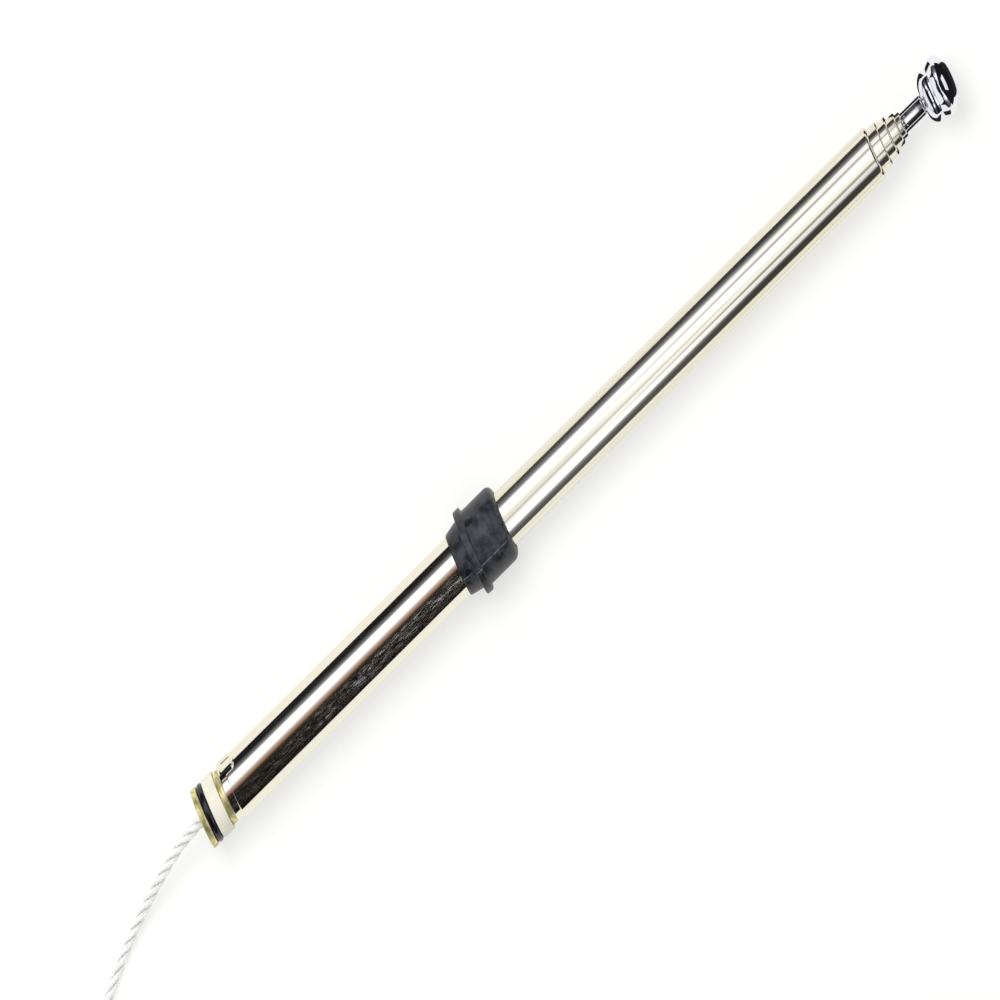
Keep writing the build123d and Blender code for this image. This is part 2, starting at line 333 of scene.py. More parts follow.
NICKEL = mirror_nickel()
SATIN = satin_nickel()
CHROME = mirror_chrome()
BRASS = turned_brass()
RUBBER = moulded_rubber()
SEAL = seal_rubber()
IVORY = turned_nylon()
NYLON = cord_nylon()
TIE = tie_plastic()

# ---------------------------------------------------------------- mesh helpers


def piece(name, mesh, material, body, slot, *nodes):
    """Puts a finished mesh into the scene as a piece that stands for CAD nodes."""
    mesh.materials.append(material)
    made = bpy.data.objects.new(name, mesh)
    bpy.context.scene.collection.objects.link(made)
    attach(made, body)
    if nodes:
        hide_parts(*nodes)
    return made


def outline(corners):
    """Segments of a closed outline of (x, r, corner radius), each end with its outward normal.

    Corners run anticlockwise seen with x to the right and r up, so that out is on the right hand.
    """
    points = []
    count = len(corners)
    for index, (x, r, round_off) in enumerate(corners):
        here = Vector((x, r))
        before = Vector(corners[index - 1][:2]) - here
        after = Vector(corners[(index + 1) % count][:2]) - here
        if round_off <= 0:
            points.append([(here, here)])
            continue
        half = before.angle(after) / 2
        reach = round_off / math.tan(half)
        middle = here + (before.normalized() + after.normalized()).normalized() * round_off / math.sin(half)
        first = here + before.normalized() * reach - middle
        last = here + after.normalized() * reach - middle
        turn = first.angle_signed(last)
        steps = 8
        arc = []
        for step in range(steps + 1):
            angle = -turn * step / steps
            spoke = Vector((
                first.x * math.cos(angle) - first.y * math.sin(angle),
                first.x * math.sin(angle) + first.y * math.cos(angle),
            ))
            arc.append((middle + spoke, middle))
        points.append(arc)
    segments = []
    for index in range(count):
        group = points[index]
        if len(group) > 1:
            for (a, middle), (b, _) in zip(group, group[1:]):
                sign = 1 if _convex(corners, index) else -1
                segments.append((a, (a - middle).normalized() * sign, b, (b - middle).normalized() * sign))
        end = group[-1][0]
        start = points[(index + 1) % count][0][0]
        run = start - end
        if run.length > 1e-9:
            out = Vector((run.y, -run.x)).normalized()
            segments.append((end, out, start, out))
    return segments


def _convex(corners, index):
    here = Vector(corners[index][:2])
    before = here - Vector(corners[index - 1][:2])
    after = Vector(corners[(index + 1) % len(corners)][:2]) - here
    return before.x * after.y - before.y * after.x > 0


def smooth_outline(points, closed=False):
    """Segments through points of (x, r) with normals of the smooth curve through them."""
    places = [Vector(p) for p in points]
    count = len(places)
    normals = []
    for index in range(count):
        ahead = places[(index + 1) % count] if closed or index < count - 1 else places[index]
        behind = places[index - 1] if closed or index > 0 else places[index]
        run = ahead - behind
        normals.append(Vector((run.y, -run.x)).normalized())
    last = count if closed else count - 1
    return [(places[i], normals[i], places[(i + 1) % count], normals[(i + 1) % count]) for i in range(last)]


def spun(name, segments, steps=256):
    """A mesh turned round the mast's axis from outline segments, with exact normals."""
    verts, faces, normals = [], [], []
    lookup = {}

    def vertex(point, step):
        on_axis = point.y < 1e-7
        key = (round(point.x, 8), round(point.y, 8), 0 if on_axis else step % steps)
        if key not in lookup:
            angle = 2 * math.pi * (step % steps) / steps
            lookup[key] = len(verts)
            verts.append((point.x, point.y * math.sin(angle), AXIS_Z + point.y * math.cos(angle)))
        return lookup[key]

    def normal(flat, step):
        angle = 2 * math.pi * step / steps
        return (flat.x, flat.y * math.sin(angle), flat.y * math.cos(angle))

    for a, normal_a, b, normal_b in segments:
        for step in range(steps):
            ring = [(a, normal_a, step), (a, normal_a, step + 1), (b, normal_b, step + 1), (b, normal_b, step)]
            corners, corner_normals = [], []
            for point, flat, at in ring:
                index = vertex(point, at)
                if index not in corners:
                    corners.append(index)
                    corner_normals.append(normal(flat, at))
            if len(corners) > 2:
                faces.append(corners)
                normals.extend(corner_normals)
    mesh = bpy.data.meshes.new(name)
    mesh.from_pydata(verts, [], faces)
    mesh.polygons.foreach_set("use_smooth", [True] * len(mesh.polygons))
    mesh.normals_split_custom_set(normals)
    return mesh


def smooth_mesh(name, verts, faces):
    mesh = bpy.data.meshes.new(name)
    mesh.from_pydata([tuple(v) for v in verts], [], faces)
    mesh.polygons.foreach_set("use_smooth", [True] * len(mesh.polygons))
    return mesh


def bezier(start, start_pull, end_pull, end, steps):
    """Points of (x, r) along one cubic curve, without its first point."""
    curve = []
    for step in range(1, steps + 1):
        t = step / steps
        weights = ((1 - t) ** 3, 3 * t * (1 - t) ** 2, 3 * t * t * (1 - t), t ** 3)
        ends = (start, start_pull, end_pull, end)
        curve.append(tuple(sum(w * p[axis] for w, p in zip(weights, ends)) for axis in (0, 1)))
    return curve


# ---------------------------------------------------------------- free cord

CORD_DIAMETER = 0.0028
CORD_ROUTE = [               # station, y, z
    (0.002, 0.0, 0.0097),
    (-0.006, 0.0, 0.0097),
    (-0.014, -0.0019, 0.008),
    (-0.0215, -0.0041, 0.0049),
    (-0.029, -0.0069, 0.0025),
    (-0.037, -0.0104, 0.0015),
    (-0.0452, -0.0153, 0.00145),
    (-0.0536, -0.0202, 0.0016),
    (-0.0749, -0.0307, 0.0019),
]
COIL_CENTRE = (-0.083, -0.0143)
COIL_MEAN_RADIUS = 0.0155
COIL_COLUMNS = 3
COIL_LAYERS = 5
COIL_BOTTOM = 0.0005
POINTS_A_TURN = 16
LAY = 0.011                  # one full twist of a strand
STRANDS = 3
STRAND_PRESS = 1.28          # strands press into each other, so each is wider than it could be if round
STRAND_SIDES = 12
CORD_PITCH = 0.0006          # between the rings of a strand's mesh
TIE_THICKNESS = 0.0005
TIE_WIDTH = 0.004
TIE_CORNER = 0.0013


def coil_points():
    """Turns wound up, down and up again in columns, from the outside in."""
    step = 2 * math.pi / POINTS_A_TURN
    stretch = 1 / math.cos(step / 2)
    first = math.atan2(CORD_ROUTE[-1][1] - COIL_CENTRE[1], CORD_ROUTE[-1][0] - COIL_CENTRE[0])
    turns_up = COIL_LAYERS - 1
    shift = 2                # points in the move from one column to the next
    angle, points = first, []
    for column in range(COIL_COLUMNS):
        reach = COIL_MEAN_RADIUS + ((COIL_COLUMNS - 1) / 2 - column) * CORD_DIAMETER
        for count in range(turns_up * POINTS_A_TURN + 1):
            height = count / POINTS_A_TURN
            if column % 2:
                height = turns_up - height
            points.append((angle, reach, COIL_BOTTOM + (height + 0.5) * CORD_DIAMETER))
            angle -= step
        angle -= step * (shift - 1)
    return [
        Vector((
            BASE_X + COIL_CENTRE[0] + reach * stretch * math.cos(angle),
            COIL_CENTRE[1] + reach * stretch * math.sin(angle),
            height,
        ))
        for angle, reach, height in points
    ]


def nurbs_line(points):
    """Points along one smooth NURBS spline through these control points."""
    data = bpy.data.curves.new("route", "CURVE")
    data.dimensions = "3D"
    spline = data.splines.new("NURBS")
    spline.points.add(len(points) - 1)
    for point, place in zip(spline.points, points):
        point.co = (*place, 1)
    spline.order_u = 3
    spline.use_endpoint_u = True
    spline.resolution_u = 12
    line = bpy.data.objects.new("route", data)
    bpy.context.scene.collection.objects.link(line)
    bpy.context.view_layer.update()
    mesh = bpy.data.meshes.new_from_object(line)
    found = np.array([v.co for v in mesh.vertices])
    bpy.data.objects.remove(line)
    bpy.data.meshes.remove(mesh)
    return found


def even(points, pitch):
    """The same line with points a pitch apart."""
    lengths = np.concatenate([[0], np.cumsum(np.linalg.norm(np.diff(points, axis=0), axis=1))])
    at = np.linspace(0, lengths[-1], max(2, round(lengths[-1] / pitch)) + 1)
    return np.stack([np.interp(at, lengths, points[:, axis]) for axis in range(3)], 1), at


def travelling_frames(points):
    """For each point, two directions across the line that don't twist about it."""
    along = np.gradient(points, axis=0)
    along /= np.linalg.norm(along, axis=1)[:, None]
    side = np.cross(along[0], (0, 0, 1.0))
    sides = []
    for tangent in along:
        side = side - tangent * side.dot(tangent)
        side /= np.linalg.norm(side)
        sides.append(side)
    sides = np.array(sides)
    return sides, np.cross(along, sides)


def tube_along(centres, sides, others, radii, around, verts, faces):
    """Adds a closed tube round a line to verts and faces."""
    start = len(verts)
    for centre, side, other, reach in zip(centres, sides, others, radii):
        for step in range(around):
            angle = 2 * math.pi * step / around
            verts.append(centre + reach * (math.cos(angle) * side + math.sin(angle) * other))
    rings = len(centres)
    for ring in range(rings - 1):
        low = start + ring * around
        for step in range(around):
            after = (step + 1) % around
            faces.append((low + step, low + after, low + around + after, low + around + step))
    faces.append(tuple(range(start + around - 1, start - 1, -1)))
    faces.append(tuple(range(start + (rings - 1) * around, start + rings * around)))


def make_cord():
    route = [Vector((BASE_X + station, y, z)) for station, y, z in CORD_ROUTE]
    line = nurbs_line(route[:-1] + coil_points())
    points, at = even(line, CORD_PITCH)
    sides, others = travelling_frames(points)
    strand = CORD_DIAMETER / 2 / (1 + 2 / math.sqrt(3)) * STRAND_PRESS
    throw = CORD_DIAMETER / 2 - strand
    ends = np.minimum(at, at[-1] - at) / (CORD_DIAMETER * 0.5)
    taper = np.sqrt(np.clip(ends, 0.02, 1))
    verts, faces = [], []
    for number in range(STRANDS):
        angle = 2 * math.pi * (at / LAY + number / STRANDS)
        offset = np.cos(angle)[:, None] * sides + np.sin(angle)[:, None] * others
        centres = points + offset * (throw * taper)[:, None]
        tube_along(centres, sides, others, strand * taper, STRAND_SIDES, verts, faces)
    return smooth_mesh("drive_cord_strands", verts, faces), line, at[-1]


def make_tie():
    """A flat strip closed round the coil, its corners rounded and its edges broken."""
    low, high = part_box("coil_tie")
    centre = Vector((BASE_X + COIL_CENTRE[0], COIL_CENTRE[1], 0))
    out = ((low + high) / 2 - centre)
    out.z = 0
    out.normalize()
    side = Vector((-out.y, out.x, 0))
    half_width = COIL_COLUMNS * CORD_DIAMETER / 2 + TIE_THICKNESS
    half_height = COIL_LAYERS * CORD_DIAMETER / 2 + TIE_THICKNESS
    middle = centre + out * COIL_MEAN_RADIUS + Vector((0, 0, half_height))
    loop = []
    for sign_x, sign_z, start in ((1, 1, 0), (-1, 1, 90), (-1, -1, 180), (1, -1, 270)):
        for step in range(7):
            angle = math.radians(start + 15 * step)
            loop.append((
                sign_x * (half_width - TIE_CORNER) + TIE_CORNER * math.cos(angle),
                sign_z * (half_height - TIE_CORNER) + TIE_CORNER * math.sin(angle),
            ))
    verts, faces = [], []
    across = ((-1, 0.3), (-0.85, 0), (0.85, 0), (1, 0.3), (1, 0.7), (0.85, 1), (-0.85, 1), (-1, 0.7))
    for x, z in loop:
        inward = Vector((-x, -z)).normalized()
        for share, depth in across:
            sink = inward * depth * TIE_THICKNESS
            place = middle + out * (x + sink.x) + side * share * TIE_WIDTH / 2
            verts.append(place + Vector((0, 0, z + sink.y)))
    rim = len(across)
    for index in range(len(loop)):
        after = (index + 1) % len(loop)
        for step in range(rim):
            following = (step + 1) % rim
            here, there = index * rim, after * rim
            faces.append((here + step, here + following, there + following, there + step))
    mesh = smooth_mesh("coil_strip", verts, faces)
    mesh.set_sharp_from_angle(angle=math.radians(50))
    return mesh


cord_mesh, cord_line, cord_run = make_cord()
print("cord length along its line", round(cord_run, 4))
strip = piece("coil_strip", make_tie(), TIE, "base", "tie_plastic", "coil_tie")
cord = piece("drive_cord_strands", cord_mesh, NYLON, "base", "cord_nylon", "drive_cord", "drive_cord_coil")

# ---------------------------------------------------------------- base stack


def turned_ring(name, node, inner, edge, material, slot):
    """A ring round the axis with softly broken corners."""
    start, end = span(node)
    outer = radius(node)
    corners = [(start, inner, 0), (end, inner, 0), (end, outer, edge), (start, outer, edge)]
    return piece(name, spun(name, outline(corners)), material, "base", slot, node)


CORE_RADIUS = 0.0047
NECK_RADIUS = 0.0063
SPIGOT_RADIUS = radius("base_plug")
turned_ring("end_ring_turned", "end_ring", CORE_RADIUS, 0.00028, BRASS, "ring_brass")
turned_ring("insulating_collar_turned", "insulating_collar", CORE_RADIUS, 0.0002, IVORY, "ivory_nylon")
turned_ring("contact_ring_turned", "contact_ring", CORE_RADIUS, 0.00025, BRASS, "ring_brass")


def make_seal():
    start, end = span("base_o_ring")
    section = (end - start) / 2
    middle = ((start + end) / 2, radius("base_o_ring") - section)
    count = 48
    points = [
        (
            middle[0] + section * math.cos(2 * math.pi * step / count),
            middle[1] + section * math.sin(2 * math.pi * step / count),
        )
        for step in range(count)
    ]
    mesh = spun("base_seal", smooth_outline(points, closed=True))
    piece("base_seal", mesh, SEAL, "base", "seal_rubber", "base_o_ring")


make_seal()


def make_plug():
    start, end = span("base_plug")
    ring_end = span("contact_ring")[1]
    tube_start = span("base_tube")[0]
    bore = radius("cord_guide_bush")
    corners = [
        (start, bore, 0.0002),
        (end, bore, 0),
        (end, SPIGOT_RADIUS, 0.0003),
        (tube_start, SPIGOT_RADIUS, 0),
        (tube_start, NECK_RADIUS, 0),
        (ring_end, NECK_RADIUS, 0.00025),
        (ring_end, CORE_RADIUS, 0),
        (start, CORE_RADIUS, 0.0002),
    ]
    mesh = spun("base_plug_turned", outline(corners))
    piece("base_plug_turned", mesh, NICKEL, "base", "tube_chrome", "base_plug")


make_plug()

# ---------------------------------------------------------------- tubes

LIP = 0.0009                 # length of a rolled-in mouth
LIP_CLEARANCE = 0.00008
BASE_WALL = 0.00045
STAGE_WALLS = (0.00040, 0.00038, 0.00036, 0.00034, 0.00032)
FIRST_MOUTH_ROUND = 0.88     # of the step down to the next tube
MOUTH_ROUND = 0.6
ROD_SHOULDER = BASE_X + 0.2582
ROD_NECK = BASE_X + 0.2590
STUD_RADIUS = 0.0014         # the rod's stud, which the tip sits on


def tube_corners(start, end, outer, wall, lip, mouth_round, foot_round):
    inner = outer - wall
    return [
        (start, inner, 0),
        (end - LIP, inner, 0),
        (end - LIP, lip, 0),
        (end, lip, 0.0001),
        (end, outer, mouth_round),
        (start, outer, foot_round),
    ]


def make_tubes():
    outer_radii = [radius(f"stage_{n}_tube") for n in range(1, STAGE_COUNT + 1)] + [radius("top_rod")]
    start, end = span("base_tube")
    lip = outer_radii[0] + LIP_CLEARANCE
    corners = tube_corners(start, end, radius("base_tube"), BASE_WALL, lip, 0.0003, 0.00042)
    mesh = spun("base_tube_plated", outline(corners))
    piece("base_tube_plated", mesh, NICKEL, "base", "tube_chrome", "base_tube")
    for number, wall in enumerate(STAGE_WALLS, 1):
        node, name = f"stage_{number}_tube", f"stage_{number}_drawn"
        start, end = span(node)
        outer, following = outer_radii[number - 1:number + 1]
        mouth_round = (outer - following) * (FIRST_MOUTH_ROUND if number == 1 else MOUTH_ROUND)
        corners = tube_corners(start, end, outer, wall, following + LIP_CLEARANCE, mouth_round, 0.00015)
        piece(name, spun(name, outline(corners)), SATIN, f"stage_{number}", "stage_nickel", node)


make_tubes()


def make_rod():
    start, end = span("top_rod")
    reach = radius("top_rod")
    corners = [
        (start, 0, 0),
        (end, 0, 0),
        (end, STUD_RADIUS, 0),
        (ROD_NECK, STUD_RADIUS, 0.0001),
        (ROD_SHOULDER, reach, 0.0003),
        (start, reach, 0.0002),
    ]
    segments = [s for s in outline(corners) if max(s[0].y, s[2].y) > 1e-7]
    mesh = spun("top_rod_polished", segments)
    piece("top_rod_polished", mesh, CHROME, "rod", "bright_chrome", "top_rod")


make_rod()


def make_tip():
    """Mushroom tip: a rounded lobe behind, a shallow waist, and a domed disc in front."""
    back, stud_end = 0.2593, 0.262
    waist, bevel_end, rim = (0.2627, 0.00592), (0.26435, 0.00677), (0.2651, 0.00696)
    curves = [
        ((back, STUD_RADIUS), (0.2588, 0.0018), (0.2586, 0.0026), (0.25875, 0.0034), 12),
        ((0.25875, 0.0034), (0.2590, 0.0044), (0.2597, 0.0052), (0.2605, 0.00566), 16),
        ((0.2605, 0.00566), (0.2609, 0.0059), (0.2614, 0.00597), waist, 14),
        (waist, (0.2629, 0.00590), (0.26295, 0.00592), (0.2630, 0.00596), 8),
        ((0.2630, 0.00596), (0.2634, 0.00621), (0.2638, 0.00646), bevel_end, 10),
        (bevel_end, (0.2646, 0.00691), (0.2648, 0.00696), rim, 10),
        (rim, (0.2664, 0.00696), (0.2677, 0.0058), (0.2684, 0.0040), 22),
        ((0.2684, 0.0040), (0.2689, 0.0027), (TIP_X - BASE_X, 0.0013), (TIP_X - BASE_X, 0.0), 16),
    ]
    profile = [curves[0][0]]
    for curve in curves:
        profile += bezier(*curve)
    profile = [(BASE_X + station, reach) for station, reach in reversed(profile)]
    hole = outline([
        (BASE_X + back, STUD_RADIUS, 0),
        (BASE_X + stud_end, STUD_RADIUS, 0),
        (BASE_X + stud_end, 0.0, 0),
    ])[:2]
    mesh = spun("tip_head_polished", smooth_outline(profile) + hole)
    piece("tip_head_polished", mesh, CHROME, "rod", "bright_chrome", "tip_head")


make_tip()

# ---------------------------------------------------------------- grommet


def make_grommet():
    """Nose, cone, flange and body in one moulding. It turns finer than the rest, as it is the widest."""
    start, end = span("panel_grommet")
    seat = radius("base_tube")
    mouth, nose, cone, body = 0.00635, 0.0071, 0.00795, 0.0086
    flange = radius("panel_grommet")
    tube_end = span("base_tube")[1]
    flange_start, flange_end = BASE_X + 0.0953, BASE_X + 0.0974
    corners = [
        (start, seat, 0.0002),
        (tube_end, seat, 0),
        (tube_end, mouth, 0),
        (end, mouth, 0.0002),
        (end, body, 0.0021),
        (flange_end, body, 0.0003),
        (flange_end, flange, 0.0004),
        (flange_start, flange, 0.0004),
        (flange_start, cone, 0.0003),
        (start, nose, 0.0005),
    ]
    mesh = spun("panel_grommet_moulded", outline(corners), 512)
    piece("panel_grommet_moulded", mesh, RUBBER, "base", "black_rubber", "panel_grommet")


make_grommet()

# ---------------------------------------------------------------- locating key

KEY_AZIMUTH = math.radians(50)   # from straight up towards +Y
KEY_WIDTH = 0.0043
KEY_ROOT = 0.0062
KEY_SKIRT = 0.0069
KEY_TOP = 0.0074
KEY_EDGE = 0.00022           # how far its top edges are broken
KEY_GROOVE = 0.00016         # how deep its groove is
KEY_BLUNT = 0.7              # length of its round end, as a share of its half width
KEY_END_STEPS = 24


def make_key():
    """A flat raised tab with a rounded free end, its top edges broken, and a groove along it."""
    low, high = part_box("locating_key")
    half = KEY_WIDTH / 2
    up = Vector((0, math.sin(KEY_AZIMUTH), math.cos(KEY_AZIMUTH)))
    across = Vector((0, math.cos(KEY_AZIMUTH), -math.sin(KEY_AZIMUTH)))

    def ring(inset, height):
        reach = half - inset
        start, end = low.x + inset, high.x - half * KEY_BLUNT
        outline_points = [(start, -reach), (start, reach)]
        for step in range(1, KEY_END_STEPS):
            angle = math.radians(90 - 180 * step / KEY_END_STEPS)
            outline_points.append((end + reach * KEY_BLUNT * math.cos(angle), reach * math.sin(angle)))
        return [Vector((x, 0, AXIS_Z)) + across * v + up * height for x, v in outline_points]

    rings = [
        ring(inset, height)
        for inset, height in (
            (0, KEY_ROOT),
            (0, KEY_SKIRT),
            (0, KEY_TOP - KEY_EDGE),
            (KEY_EDGE * 0.3, KEY_TOP - KEY_EDGE * 0.3),
            (KEY_EDGE, KEY_TOP),
            (half * 0.52, KEY_TOP),
            (half * 0.58, KEY_TOP - KEY_GROOVE),
            (half * 0.80, KEY_TOP - KEY_GROOVE),
        )
    ]
    count = len(rings[0])
    verts = [v for loop in rings for v in loop]
    faces = [tuple(range(count - 1, -1, -1)), tuple(range((len(rings) - 1) * count, len(rings) * count))]
    for index in range(len(rings) - 1):
        for step in range(count):
            after = (step + 1) % count
            here, above = index * count, (index + 1) * count
            faces.append((here + step, here + after, above + after, above + step))
    mesh = smooth_mesh("locating_key_tab", verts, faces)
    made = bmesh.new()
    made.from_mesh(mesh)
    bmesh.ops.recalc_face_normals(made, faces=made.faces)
    made.to_mesh(mesh)
    made.free()
    mesh.set_sharp_from_angle(angle=math.radians(25))
    piece("locating_key_tab", mesh, NICKEL, "base", "tube_chrome", "locating_key")


make_key()

# ---------------------------------------------------------------- carried-over CAD nodes

CARRIED = {
    "cord_guide_bush": IVORY,
    "inner_drive_cord": NYLON,
    "cord_anchor": BRASS,
    **{f"contact_sleeve_{number}": BRASS for number in range(1, STAGE_COUNT + 2)},
}
for node, material in CARRIED.items():
    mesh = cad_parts[node].data
    mesh.materials.clear()
    mesh.materials.append(material)

# ---------------------------------------------------------------- stage

# Polished metal shows little but its surroundings. The tent and the cards round the tip stand for
# those of the photograph. They are set for the main view at rest, so other views and poses show them
# out of place.
TENT_RADIUS = 0.2
TENT_HALF_LENGTH = 0.6
TENT_STEPS = 90
TENT_STRENGTH = 2.0
# what the tubes show, from the tent's +Y foot over the top to its -Y foot:
# angle from straight up, brightness, and how cream it looks (0 white, 1 as the plate, 3 brown, below 0 blue)
BASE_SKY = [
    (90, 0.010, 1), (66, 0.012, 0), (59, 0.07, 0), (50, 0.20, 0.2), (45.5, 0.55, 0.2), (43, 1.15, 0.1),
    (17, 1.15, 0.1), (14, 0.88, 0.5), (6, 0.45, 2), (-3, 0.25, 3), (-8, 0.055, 3.4), (-14, 0.03, 3.4),
    (-24, 0.008, 1), (-38, 0.006, 0), (-50, 0.009, 2), (-64, 0.011, 3), (-74, 0.005, 1), (-90, 0.004, 0),
]
STAGE_SKY = [
    (90, 0.045, 1), (80, 0.05, 1), (70, 0.12, 0.4), (58, 0.28, -0.1), (53, 0.55, 0), (50, 1.45, 0),
    (32, 1.4, 0.1), (27, 1.1, 0.4), (19, 1.2, 0.4), (8, 1.0, 0.6), (-3, 0.86, 0.8), (-9, 0.58, 1.2),
    (-14, 0.86, 0.7), (-20, 1.1, 0.4), (-36, 1.35, 0.1), (-51, 1.4, 0), (-55, 0.36, 0.3), (-70, 0.12, 0.6),
    (-90, 0.06, 1),
]
MOUTH_SKY = [
    (90, 0.025, 1), (78, 0.03, 1), (68, 0.09, 0.4), (57, 0.27, 0), (52, 0.6, 0.1), (48, 1.15, 0.2),
    (36, 1.05, 0.4), (29, 0.46, 0.6), (25, 0.55, 0.5), (19, 1.25, 0.2), (0, 1.3, 0.4), (-10, 0.92, 0.9),
    (-22, 1.0, 0.8), (-27, 0.34, 0.8), (-31, 0.34, 0.8), (-38, 1.1, 0.4), (-49, 0.78, 0.4), (-54, 0.28, 0.5),
    (-60, 0.05, 0.6), (-90, 0.05, 0.6),
]
ROD_SKY = [
    (90, 0.01, 1), (76, 0.05, 1), (66, 0.07, 1), (40, 0.10, 0.9), (33, 0.30, 0.9), (24, 0.75, 1),
    (12, 1.1, 1), (-14, 1.1, 1), (-24, 0.8, 1), (-30, 0.06, 1), (-60, 0.014, 0.9), (-90, 0.006, 0.9),
]
DARK_SKY = [(90, 0.008, 1), (-90, 0.008, 1)]
SKIES = (                    # each sky after the first, and the stations between which it takes over
    (STAGE_SKY, 0.098, 0.102),
    (MOUTH_SKY, 0.140, 0.200),
    (ROD_SKY, 0.2512, 0.2516),
    (DARK_SKY, 0.2592, 0.2596),
    (STAGE_SKY, 0.273, 0.275),
)


class Glow:
    """An emission material for the tent and the cards, and short ways to add nodes to it."""

    def __init__(self, name):
        self.material = bpy.data.materials.new(name)
        self.material.use_nodes = True
        self.tree = self.material.node_tree
        self.tree.nodes.clear()
        self.light = self.tree.nodes.new("ShaderNodeEmission")
        self.light.inputs["Strength"].default_value = TENT_STRENGTH
        out = self.tree.nodes.new("ShaderNodeOutputMaterial")
        self.tree.links.new(self.light.outputs["Emission"], out.inputs["Surface"])

    def math(self, operation, *values):
        node = self.tree.nodes.new("ShaderNodeMath")
        node.operation = operation
        for socket, value in zip(node.inputs, values):
            if isinstance(value, (int, float)):
                socket.default_value = value
            else:
                self.tree.links.new(value, socket)
        return node.outputs["Value"]

    def axes(self, vector):
        node = self.tree.nodes.new("ShaderNodeSeparateXYZ")
        self.tree.links.new(vector, node.inputs["Vector"])
        return node.outputs

    def between(self, source, low, high):
        """0 below low, 1 above high."""
        node = self.tree.nodes.new("ShaderNodeMapRange")
        self.tree.links.new(source, node.inputs["Value"])
        node.inputs["From Min"].default_value = low
        node.inputs["From Max"].default_value = high
        return node.outputs["Result"]

    def mix(self, factor, first, second):
        node = self.tree.nodes.new("ShaderNodeMix")
        node.data_type = "RGBA"
        self.tree.links.new(factor, node.inputs["Factor"])
        for socket, value in zip([s for s in node.inputs if s.type == "RGBA"], (first, second)):
            if isinstance(value, tuple):
                socket.default_value = (*value, 1)
            else:
                self.tree.links.new(value, socket)
        return [s for s in node.outputs if s.type == "RGBA"][0]

    def sky(self, share, stops):
        """A colour ramp from the tent's +Y foot, share 0, to its -Y foot, share 1."""
        ramp = self.tree.nodes.new("ShaderNodeValToRGB")
        self.tree.links.new(share, ramp.inputs["Fac"])
        elements = ramp.color_ramp.elements
        while len(elements) < len(stops):
            elements.new(0.5)
        for element, (angle, _, _) in zip(elements, stops):
            element.position = (90 - angle) / 180
        for element, (_, level, cream) in zip(elements, stops):
            brown = (0, 0.14 * max(0, cream - 1), 0)
            tint = [1 - cream * (1 - part / PLATE[0]) - less for part, less in zip(PLATE, brown)]
            element.color = (*(level * share / part / TENT_STRENGTH for share, part in zip(tint, PLATE)), 1)
        return ramp.outputs["Color"]


def make_tent():
    """Half a cylinder of painted light over the mast, seen only in polished surfaces."""
    glow = Glow("tent")
    geometry = glow.tree.nodes.new("ShaderNodeNewGeometry")
    place = glow.axes(geometry.outputs["Position"])
    angle = glow.math("ARCTAN2", place["Y"], glow.math("SUBTRACT", place["Z"], AXIS_Z))
    share = glow.math("SUBTRACT", 0.5, glow.math("DIVIDE", angle, math.pi))
    # rays off the mast slope a little along it, so the tent is read a little further on than they land
    along = glow.math("ADD", place["X"], TENT_RADIUS * math.tan(CAMERA_TILT))
    seen = glow.sky(share, BASE_SKY)
    for stops, first, last in SKIES:
        turned = glow.between(along, BASE_X + first, BASE_X + last)
        seen = glow.mix(turned, seen, glow.sky(share, stops))
    glow.tree.links.new(seen, glow.light.inputs["Color"])

    verts, faces = [], []
    for step in range(TENT_STEPS + 1):
        turn = math.pi * (step / TENT_STEPS - 0.5)
        for x in (-TENT_HALF_LENGTH, TENT_HALF_LENGTH):
            verts.append((x, TENT_RADIUS * math.sin(turn), AXIS_Z + TENT_RADIUS * math.cos(turn)))
        if step:
            faces.append((2 * step - 2, 2 * step - 1, 2 * step + 1, 2 * step))
    stage_piece("tent", verts, faces, glow.material, only_glossy=True)


def stage_piece(name, verts, faces, material, only_glossy=False):
    mesh = bpy.data.meshes.new(name)
    mesh.from_pydata(verts, [], faces)
    mesh.materials.append(material)
    made = bpy.data.objects.new(name, mesh)
    bpy.context.scene.collection.objects.link(made)
    if only_glossy:
        made.visible_camera = False
        made.visible_diffuse = False
        made.visible_shadow = False
        made.visible_transmission = False


CARD_LIFT = 0.0003           # keeps a flat card just off the table


def tip_card(name, start, low, pale_from, pale_to, high, pale_half, half):
    """A dark card standing across the mast by its head, with a pale patch, seen only in polished surfaces.

    It leans as the rays off the mast do, so at rest the tubes and the rod don't see it. A tube that slides
    past it does. Heights are above the axis.
    """
    dark, pale = Glow(name), Glow(name + "_pale")
    dark.light.inputs["Color"].default_value = (0.006, 0.005, 0.007, 1)
    pale.light.inputs["Color"].default_value = (0.49, 0.49, 0.51, 1)

    def corner(height, y):
        return (start - math.tan(CAMERA_TILT) * height, y, AXIS_Z + height)

    def sheet(bottom, top, left, right):
        return [corner(bottom, left), corner(bottom, right), corner(top, right), corner(top, left)]

    patch = sheet(pale_from, pale_to, -pale_half, pale_half)
    stage_piece(name + "_pale", patch, [(0, 1, 2, 3)], pale.material, only_glossy=True)
    verts = sheet(low, pale_from, -half, half) + sheet(pale_to, high, -half, half)
    verts += sheet(pale_from, pale_to, -half, -pale_half)
    verts += sheet(pale_from, pale_to, pale_half, half)
    faces = [tuple(range(first, first + 4)) for first in (0, 4, 8, 12)]
    stage_piece(name, verts, faces, dark.material, only_glossy=True)


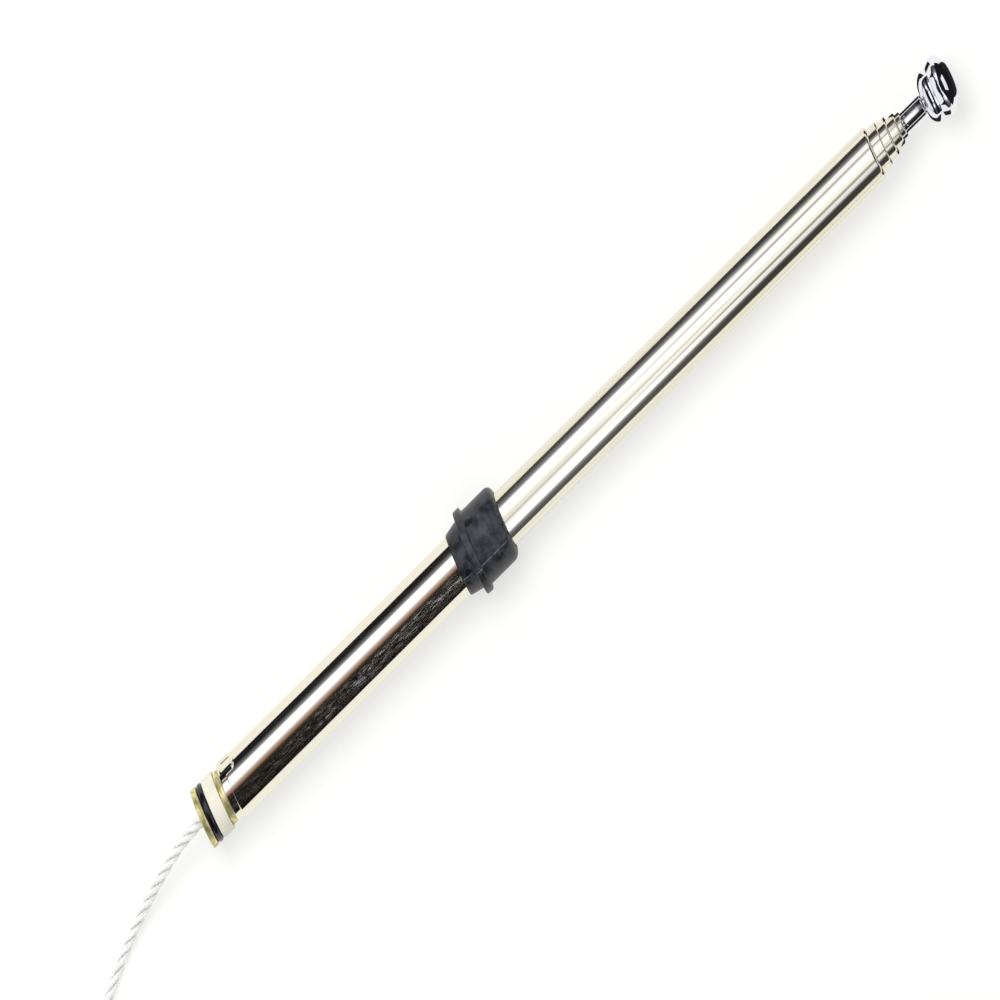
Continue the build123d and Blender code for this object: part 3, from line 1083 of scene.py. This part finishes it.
def painted_shade_card(name, start, end, near, far):
    """A dark sheet just over the table that only polished surfaces see: painted shade on the reflected table,
    near and far being half its width.
    """
    glow = Glow(name)
    glow.light.inputs["Color"].default_value = (0.01, 0.01, 0.012, 1)
    z = CARD_LIFT
    corners = [(start, -near, z), (end, -far, z), (end, far, z), (start, near, z)]
    stage_piece(name, corners, [(0, 1, 2, 3)], glow.material, only_glossy=True)


FLOOR_HALF = 4.0
TABLE_GLOW = 0.60            # keeps the shadows on the white table as pale as the photograph's
REFLECTED_WORLD = (0.25, 0.25, 0.26)
FILL_LIGHT = (0.66, 0.66, 0.67)
BACKDROP = (0.97, 0.97, 0.96)


def make_floor():
    sockets = {"Specular_IOR_Level": 0.0, "Emission_Strength": TABLE_GLOW}
    paint = Paint("table_white", (0.37, 0.37, 0.36), 0.0, 0.9, **sockets)
    paint.set("Emission Color", (1.0, 1.0, 0.985, 1))
    cloud = paint.range(paint.noise((6, 6, 6), 2), 0.3, 0.7, 0, 1)
    paint.colour(paint.mix(cloud, (0.372, 0.372, 0.362), (0.366, 0.366, 0.352)))
    corners = [(FLOOR_HALF * x, FLOOR_HALF * y, 0) for x, y in ((-1, -1), (1, -1), (1, 1), (-1, 1))]
    stage_piece("floor", corners, [(0, 1, 2, 3)], paint.material)


def make_world():
    """White where the camera sees it, an even fill for matt surfaces, and dim in reflections."""
    world = bpy.data.worlds.new("studio")
    bpy.context.scene.world = world
    world.use_nodes = True
    tree = world.node_tree
    path = tree.nodes.new("ShaderNodeLightPath")
    base = tree.nodes.new("ShaderNodeRGB")
    base.outputs["Color"].default_value = (*REFLECTED_WORLD, 1)
    seen = base.outputs["Color"]
    for ray, colour in (("Is Diffuse Ray", FILL_LIGHT), ("Is Camera Ray", BACKDROP)):
        mix = tree.nodes.new("ShaderNodeMix")
        mix.data_type = "RGBA"
        tree.links.new(path.outputs[ray], mix.inputs["Factor"])
        first, second = [s for s in mix.inputs if s.type == "RGBA"]
        second.default_value = (*colour, 1)
        tree.links.new(seen, first)
        seen = [s for s in mix.outputs if s.type == "RGBA"][0]
    tree.links.new(seen, tree.nodes["Background"].inputs["Color"])


def make_key_light():
    """A broad soft light from +Y that matt surfaces see and polished ones don't."""
    data = bpy.data.lights.new("key", "AREA")
    data.shape = "DISK"
    data.size = 0.9
    data.energy = 13
    light = bpy.data.objects.new("key", data)
    bpy.context.scene.collection.objects.link(light)
    light.location = (-0.15, 0.55, 1.3)
    light.rotation_euler = (-light.location).to_track_quat("-Z", "Y").to_euler()
    light.visible_glossy = False
    light.visible_camera = False


make_floor()
make_world()
make_key_light()
make_tent()
tip_card(
    "card_behind_tip", start=BASE_X + 0.2523, low=0.0052, pale_from=0.0056, pale_to=0.0128, high=0.07,
    pale_half=0.012, half=0.03,
)
tip_card(
    "card_past_tip", start=TIP_X + 0.005, low=0.0, pale_from=0.0070, pale_to=0.0125, high=0.12,
    pale_half=0.0045, half=0.02,
)
# painted shade on the table where the tip and the rod reflect it
painted_shade_card("dark_past_tip", start=TIP_X + 0.002, end=TIP_X + 0.09, near=0.004, far=0.08)
painted_shade_card("dark_by_rod", start=BASE_X + 0.2475, end=BASE_X + 0.2595, near=0.06, far=0.06)

bpy.context.scene.view_settings.view_transform = "Standard"
